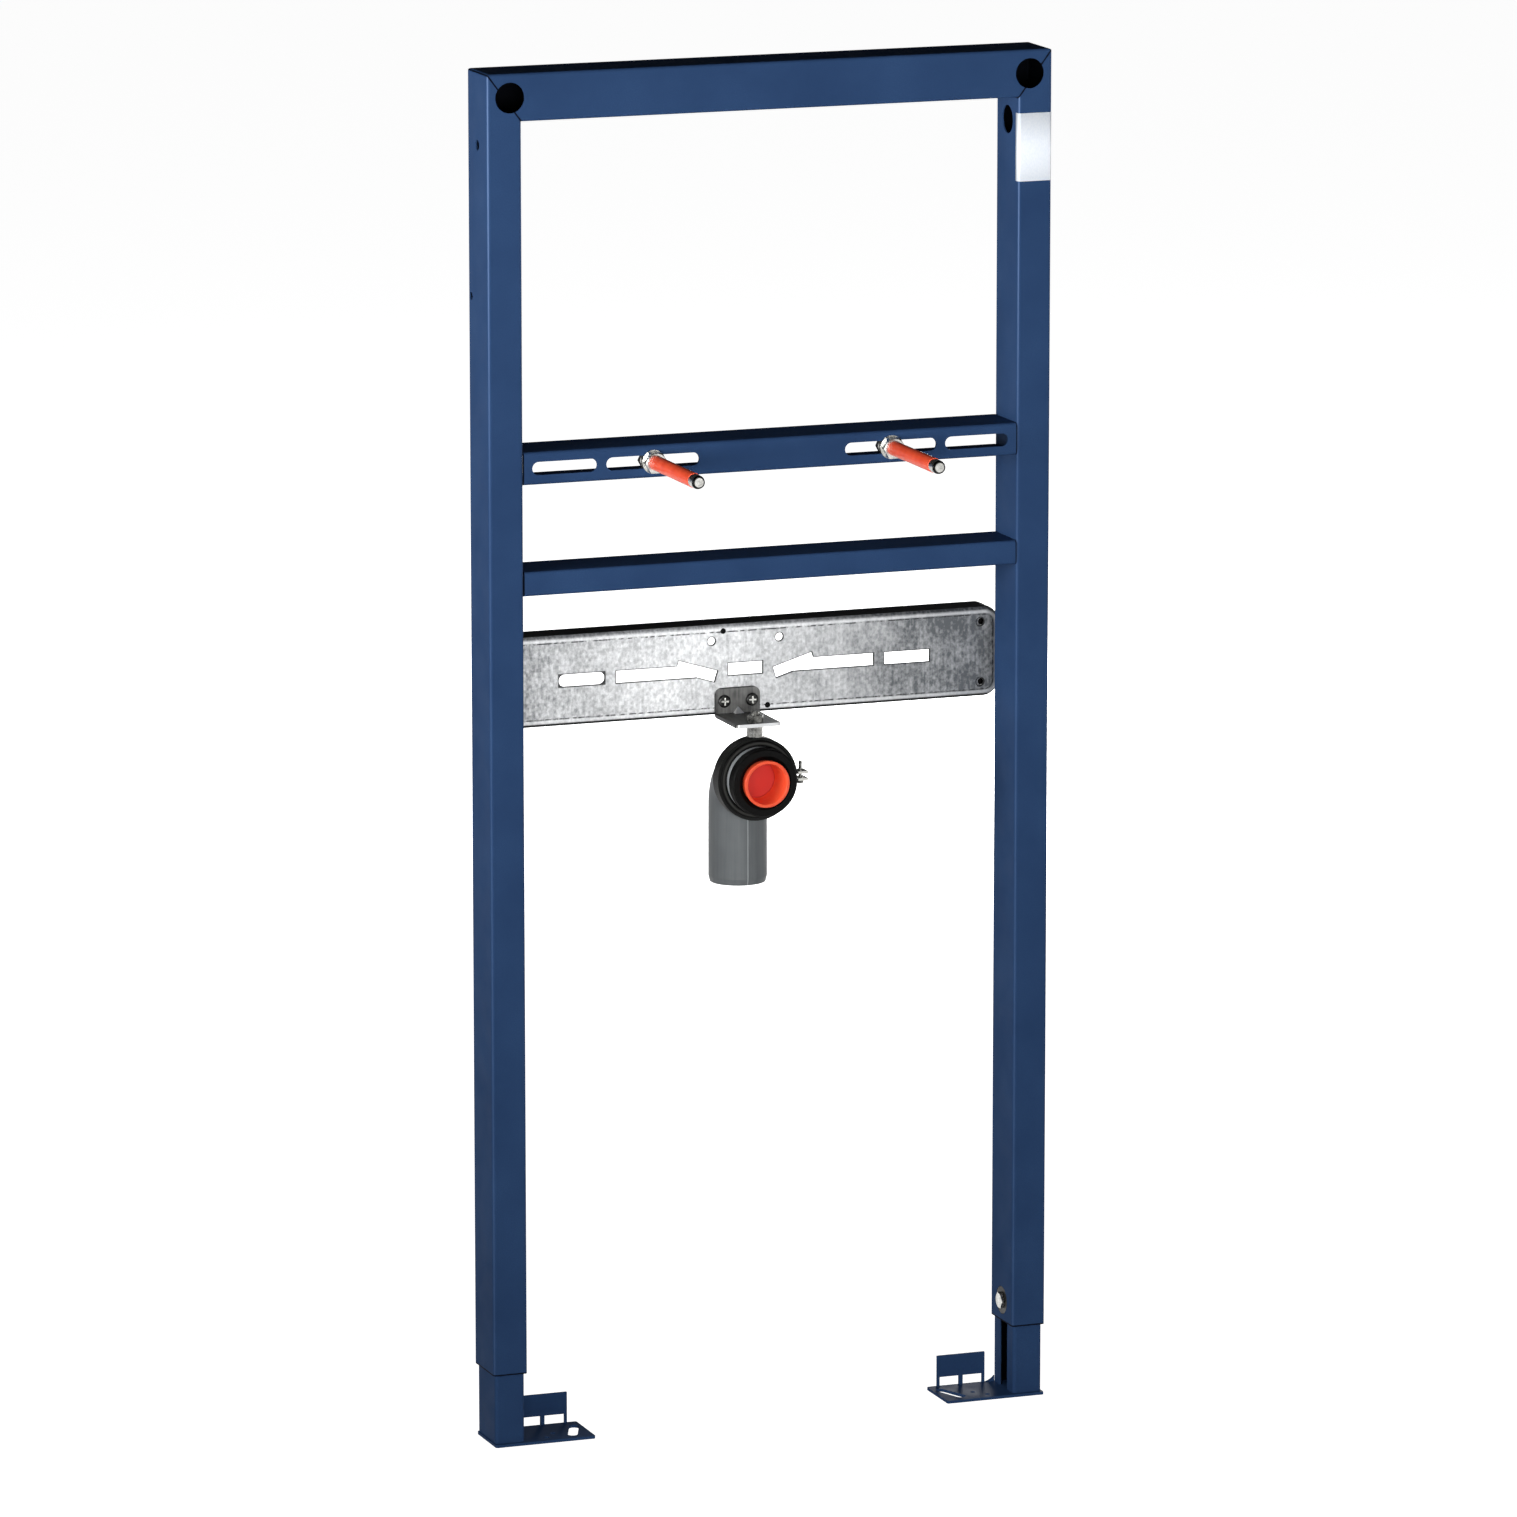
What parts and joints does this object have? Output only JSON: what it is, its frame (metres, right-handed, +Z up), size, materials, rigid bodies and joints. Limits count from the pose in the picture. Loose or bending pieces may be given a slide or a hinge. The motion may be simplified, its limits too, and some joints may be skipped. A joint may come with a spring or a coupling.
{
  "type": "basin installation frame",
  "caption": "Blue powder-coated steel frame with telescopic feet that carries a wall-hung wash basin, with basin bolts, a slotted connection plate and a clamped waste bend.",
  "frame": {"origin": "on the floor, under the middle of the object's box", "axes": "+X to the right seen from the front, +Y towards the wall, +Z up"},
  "size_m": [0.5, 0.204, 1.164],
  "materials": {
    "powder_coat": "blue powder coat, satin",
    "galvanised": "hot-dip galvanised sheet with spangle",
    "dark_steel": "dull grey steel",
    "zinc": "bright zinc plate",
    "clamp_band": "black coated steel with bare zinc ears",
    "black_rubber": "matt black rubber",
    "grey_plastic": "grey waste pipe plastic",
    "orange_plastic": "orange-red polyethylene"
  },
  "bodies": {
    "frame": {"top_bar": "powder_coat", "slotted_bar": "powder_coat", "lower_bar": "powder_coat", "connection_plate": "galvanised", "waste_bracket": "dark_steel", "waste_bracket_screws": "zinc", "pipe_clamp_upper": "clamp_band", "pipe_clamp_lower": "clamp_band", "pipe_clamp_lining": "black_rubber", "pipe_clamp_screw": "zinc", "pipe_clamp_stud": "zinc", "pipe_clamp_top_nut": "zinc", "pipe_clamp_lower_nut": "zinc", "waste_elbow": "grey_plastic", "socket_seal": "black_rubber", "socket_plug": "orange_plastic", "left_post": "powder_coat", "left_plate_bracket": "powder_coat", "left_leg_clamp_disc": "dark_steel", "left_leg_clamp_plate": "dark_steel", "left_leg_clamp_bolt": "zinc", "left_basin_bolt": "zinc", "left_basin_sleeve": "orange_plastic", "left_basin_front_nut": "zinc", "left_basin_rear_nut": "zinc", "left_basin_front_washer": "zinc", "left_basin_rear_washer": "zinc", "right_post": "powder_coat", "right_plate_bracket": "powder_coat", "right_leg_clamp_disc": "dark_steel", "right_leg_clamp_plate": "dark_steel", "right_leg_clamp_bolt": "zinc", "right_basin_bolt": "zinc", "right_basin_sleeve": "orange_plastic", "right_basin_front_nut": "zinc", "right_basin_rear_nut": "zinc", "right_basin_front_washer": "zinc", "right_basin_rear_washer": "zinc"},
    "left_leg": {"left_leg": "powder_coat", "left_foot_plate": "powder_coat"},
    "right_leg": {"right_leg": "powder_coat", "right_foot_plate": "powder_coat"}
  },
  "joints": [
    {"name": "left_leg_slide", "type": "slide", "parent": "frame", "child": "left_leg", "axis": [0, 0, -1], "range_m": [-0.034, 0.166]},
    {"name": "right_leg_slide", "type": "slide", "parent": "frame", "child": "right_leg", "axis": [0, 0, -1], "range_m": [-0.034, 0.166]}
  ]
}
